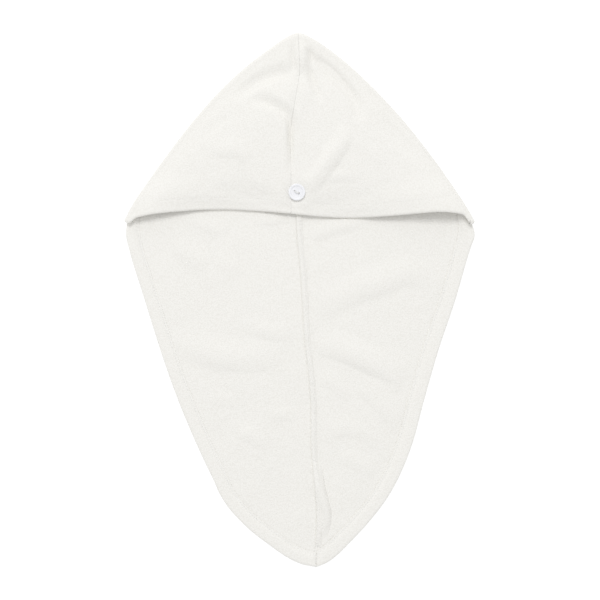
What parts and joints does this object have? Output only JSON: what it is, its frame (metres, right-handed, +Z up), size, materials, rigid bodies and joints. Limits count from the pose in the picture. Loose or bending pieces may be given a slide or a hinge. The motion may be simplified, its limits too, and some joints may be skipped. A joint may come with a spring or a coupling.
{
  "type": "hair turban towel",
  "caption": "Terry hair turban towel lying flat: a seamed hood folded over at the top with a pocket for the head, a hemmed tapering tail and a sewn button on the hood.",
  "frame": {"origin": "on the surface that the towel lies on, under the middle of its outline", "axes": "+Y from the tip of the tail to the apex of the hood, +Z up from the surface, +X to the right as seen from above with the apex up"},
  "size_m": [0.4192, 0.639, 0.0201],
  "materials": {
    "terry": "matt terry loops, off-white",
    "overlock": "overlocked cut edges, off-white",
    "button_plastic": "smooth white plastic",
    "sewing_thread": "white sewing thread"
  },
  "bodies": {
    "root": {"left_panel": "terry", "right_panel": "terry", "centre_seam": "overlock", "button": "button_plastic", "button_thread": "sewing_thread"}
  },
  "joints": []
}
